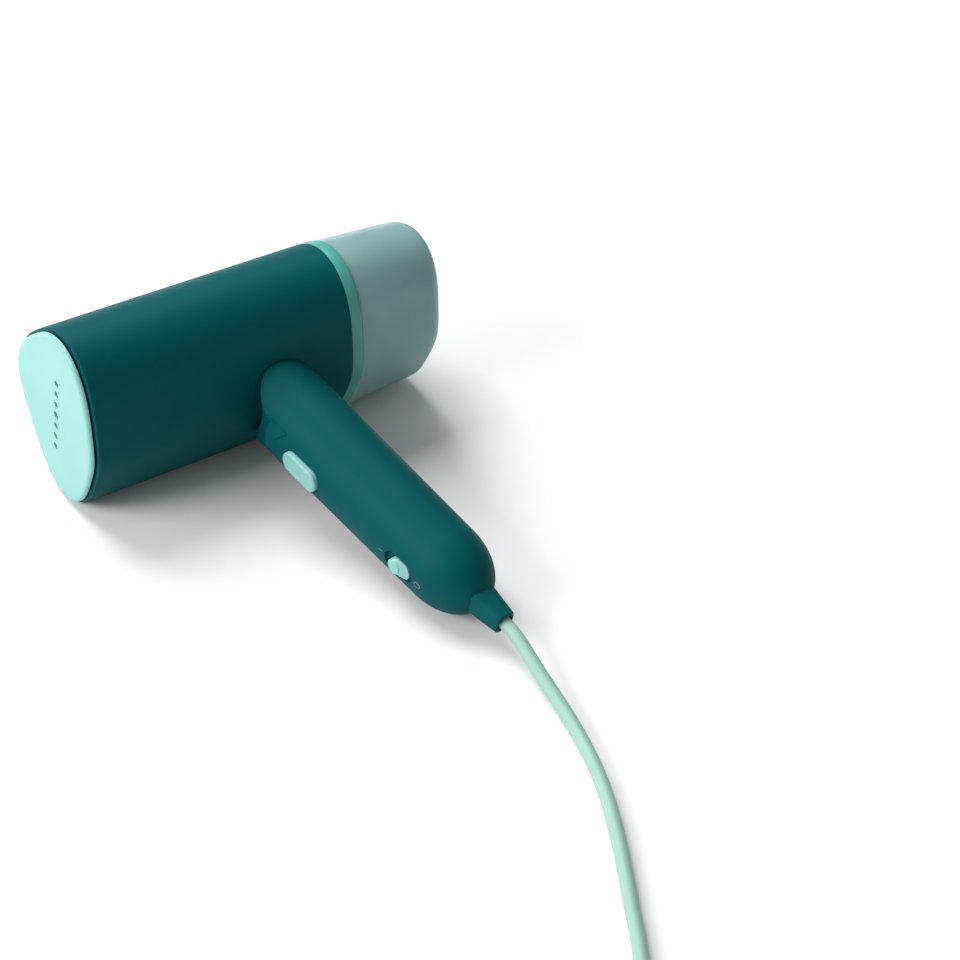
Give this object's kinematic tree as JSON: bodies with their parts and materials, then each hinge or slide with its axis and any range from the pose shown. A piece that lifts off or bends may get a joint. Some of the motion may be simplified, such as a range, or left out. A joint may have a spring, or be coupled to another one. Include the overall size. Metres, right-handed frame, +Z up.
{
  "type": "handheld garment steamer",
  "caption": "Foldable handheld garment steamer lying on its side, with a clip-on water tank behind its head, a hinged handle and a coiled mains lead.",
  "frame": {"origin": "on the floor, under the middle of the steamer's bounding box as it lies on its side, without its mains lead", "axes": "+X the way the steam plate faces, +Y along the floor towards the handle's end, +Z up from the floor that it lies on"},
  "size_m": [0.2537, 0.3959, 0.0774],
  "materials": {
    "teal_shell": "satin moulded plastic with a very fine grain",
    "teal_rubber": "soft moulded sleeve",
    "mint_plastic": "smooth satin",
    "mint_cord": "smooth PVC sheath",
    "band_plastic": "tinted satin plastic",
    "smoked_plastic": "frosted translucent smoke",
    "black_plastic": "heat-resistant, fine grain",
    "white_plastic": "moulded",
    "silicone": "milky silicone",
    "rubber": "soft",
    "cast_aluminium": "as cast",
    "steel": "plated",
    "copper_wire": "enamelled winding",
    "brass": "plain or nickel-plated",
    "mica": "pressed mica sheet",
    "circuit_board": "solder-masked board"
  },
  "bodies": {
    "head": {"head_casing": "teal_shell", "steam_plate": "mint_plastic", "front_bezel": "black_plastic", "steam_chamber": "cast_aluminium", "chamber_gasket": "silicone", "heating_element": "steel", "thermostat": "black_plastic", "thermal_fuse": "white_plastic", "heat_shield": "mica", "chamber_screw_1": "steel", "chamber_screw_2": "steel", "chamber_screw_3": "steel", "chamber_screw_4": "steel", "pump_housing": "white_plastic", "pump_coil": "copper_wire", "pump_yoke": "steel", "pump_spring": "steel", "supply_hose": "silicone", "steam_hose": "silicone", "head_tray": "white_plastic", "hinge_neck": "teal_shell", "neck_screw_1": "steel", "neck_screw_2": "steel", "neck_screw_3": "steel", "neck_screw_4": "steel", "tank_socket": "teal_shell", "inlet_nozzle": "white_plastic", "socket_screw_left": "steel", "socket_screw_right": "steel"},
    "pump_piston": {"pump_plunger": "steel"},
    "tank": {"water_tank": "smoked_plastic", "tank_base": "band_plastic", "tank_valve": "silicone", "pickup_tube": "silicone", "pickup_weight": "brass"},
    "plug": {"fill_plug": "rubber"},
    "handle": {"handle_casing": "teal_shell", "hinge_fork": "teal_shell", "hinge_pin": "steel", "hinge_washer_left": "steel", "hinge_washer_right": "steel", "trigger_spring": "steel", "trigger_switch": "black_plastic", "slide_switch": "black_plastic", "control_board": "circuit_board", "board_carrier": "white_plastic", "board_screw_1": "steel", "board_screw_2": "steel", "board_screw_3": "steel", "board_screw_4": "steel", "strain_relief": "teal_rubber", "power_cord": "mint_cord", "cord_coil": "mint_cord", "cord_tail": "mint_cord", "mains_plug": "mint_cord", "plug_pin_left": "brass", "plug_pin_right": "brass"},
    "trigger": {"steam_trigger": "mint_plastic"},
    "power_switch": {"power_slider": "mint_plastic"}
  },
  "joints": [
    {"name": "fold_hinge", "type": "hinge", "parent": "head", "child": "handle", "pos_m": [0.00186, -0.02075, 0.03169], "axis": [0, -0.1831, -0.9831], "range_deg": [0, 93]},
    {"name": "tank_release", "type": "slide", "parent": "head", "child": "tank", "axis": [-1, 0, 0], "range_m": [0, 0.02]},
    {"name": "fill_plug_pull", "type": "slide", "parent": "tank", "child": "plug", "axis": [1, 0, 0], "range_m": [0, 0.006]},
    {"name": "steam_trigger_press", "type": "slide", "parent": "handle", "child": "trigger", "axis": [-0.9917, -0.1266, 0.0236], "range_m": [0, 0.0015], "stiffness_N_per_m": 800, "springref_m": -0.002},
    {"name": "power_switch_slide", "type": "slide", "parent": "handle", "child": "power_switch", "axis": [0.1288, -0.9749, 0.1816], "range_m": [0, 0.003]},
    {"name": "pump_stroke", "type": "slide", "parent": "head", "child": "pump_piston", "axis": [1, 0, 0], "range_m": [0, 0.003], "stiffness_N_per_m": 600, "springref_m": -0.003}
  ]
}
